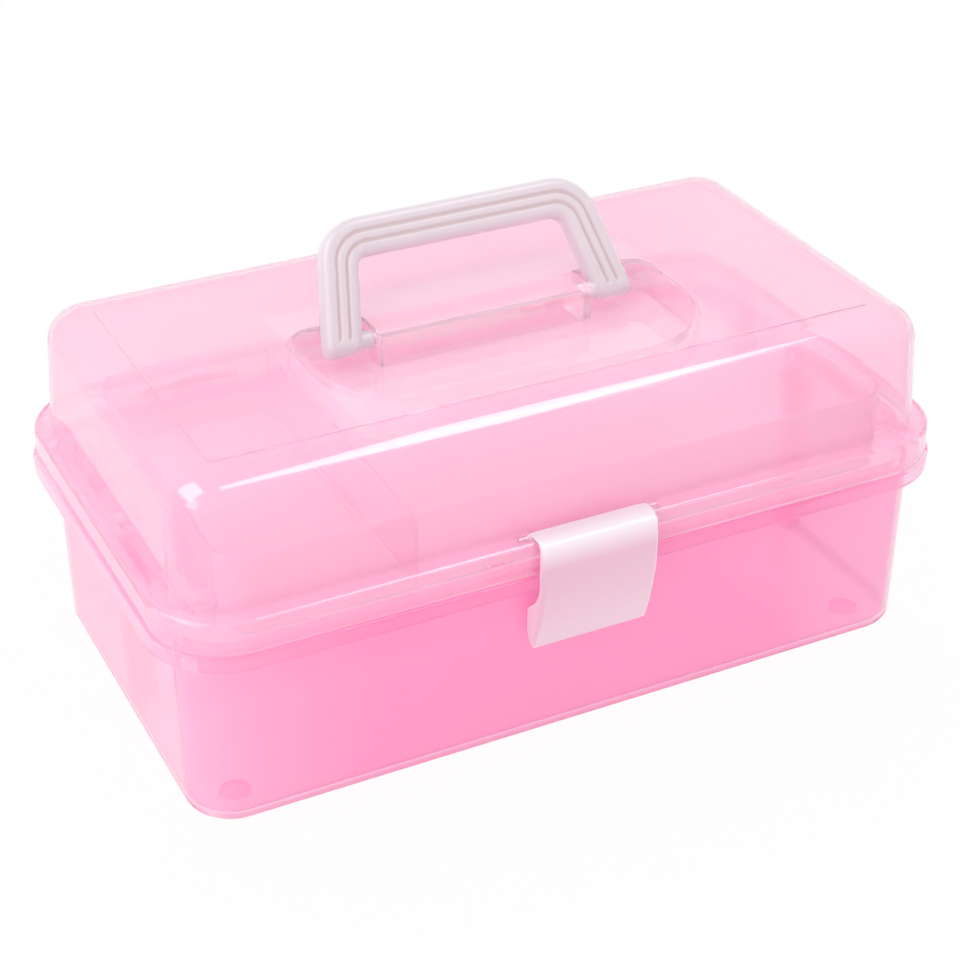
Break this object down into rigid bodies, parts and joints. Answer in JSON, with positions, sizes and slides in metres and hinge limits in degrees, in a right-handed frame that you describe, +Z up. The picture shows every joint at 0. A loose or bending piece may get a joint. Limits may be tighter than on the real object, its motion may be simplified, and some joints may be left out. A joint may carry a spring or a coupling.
{
  "type": "storage case with handle",
  "caption": "Translucent hinged storage case with a swinging carry handle, front latch and a lift-up tray linked to its lid.",
  "frame": {"origin": "centre of the footprint of the tub on the surface the case stands on", "axes": "+X along the case to the right seen from the latch, +Y from the latch to the hinges, +Z up"},
  "size_m": [0.33, 0.2019, 0.1786],
  "materials": {
    "pink_tub": "smooth tinted translucent moulding",
    "pink_lid": "smooth tinted translucent moulding",
    "pink_tray": "smooth tinted translucent moulding",
    "pink_arm": "smooth tinted translucent moulding",
    "white_handle": "satin white moulding",
    "white_latch": "satin white moulding",
    "white_pin": "satin white moulding",
    "steel_pin": "drawn wire",
    "pink_foot": "soft translucent disc"
  },
  "bodies": {
    "base": {"tub": "pink_tub", "foot_front_right": "pink_foot", "foot_front_left": "pink_foot", "foot_back_right": "pink_foot", "foot_back_left": "pink_foot", "arm_pin_right": "white_pin", "arm_pin_left": "white_pin"},
    "lid": {"lid": "pink_lid", "hinge_pin_right": "steel_pin", "hinge_pin_left": "steel_pin", "latch_pin": "steel_pin"},
    "handle": {"handle": "white_handle", "handle_pin_right": "white_handle", "handle_pin_left": "white_handle"},
    "latch": {"latch": "white_latch"},
    "arm_left": {"arm_left": "pink_arm", "tray_pin_left": "white_pin"},
    "arm_right": {"arm_right": "pink_arm", "tray_pin_right": "white_pin"},
    "tray": {"tray": "pink_tray", "divider": "pink_tray", "hanger_pin_right": "white_pin", "hanger_pin_left": "white_pin"}
  },
  "joints": [
    {"name": "lid_hinge", "type": "hinge", "parent": "base", "child": "lid", "pos_m": [0, 0.099, 0.082], "axis": [-1, 0, 0], "range_deg": [0, 100]},
    {"name": "latch_pivot", "type": "hinge", "parent": "lid", "child": "latch", "pos_m": [0, -0.0876, 0.0936], "axis": [-1, 0, 0], "range_deg": [0, 80]},
    {"name": "handle_pivot", "type": "hinge", "parent": "lid", "child": "handle", "pos_m": [0, 0.0026, 0.1382], "axis": [1, 0, 0], "range_deg": [0, 123.8]},
    {"name": "arm_left_pivot", "type": "hinge", "parent": "base", "child": "arm_left", "pos_m": [-0.1485, -0.0045, 0.09], "axis": [-1, 0, 0], "range_deg": [0, 100]},
    {"name": "arm_right_pivot", "type": "hinge", "parent": "base", "child": "arm_right", "pos_m": [0.1485, -0.0045, 0.09], "axis": [-1, 0, 0], "range_deg": [0, 100]},
    {"name": "tray_pivot", "type": "hinge", "parent": "arm_left", "child": "tray", "pos_m": [-0.1485, -0.067, 0.09], "axis": [-1, 0, 0], "range_deg": [-100, 0]}
  ],
  "couplings": [
    {"joint": "arm_left_pivot", "follows": "lid_hinge", "ratio": 1},
    {"joint": "arm_right_pivot", "follows": "lid_hinge", "ratio": 1},
    {"joint": "tray_pivot", "follows": "lid_hinge", "ratio": -1}
  ]
}
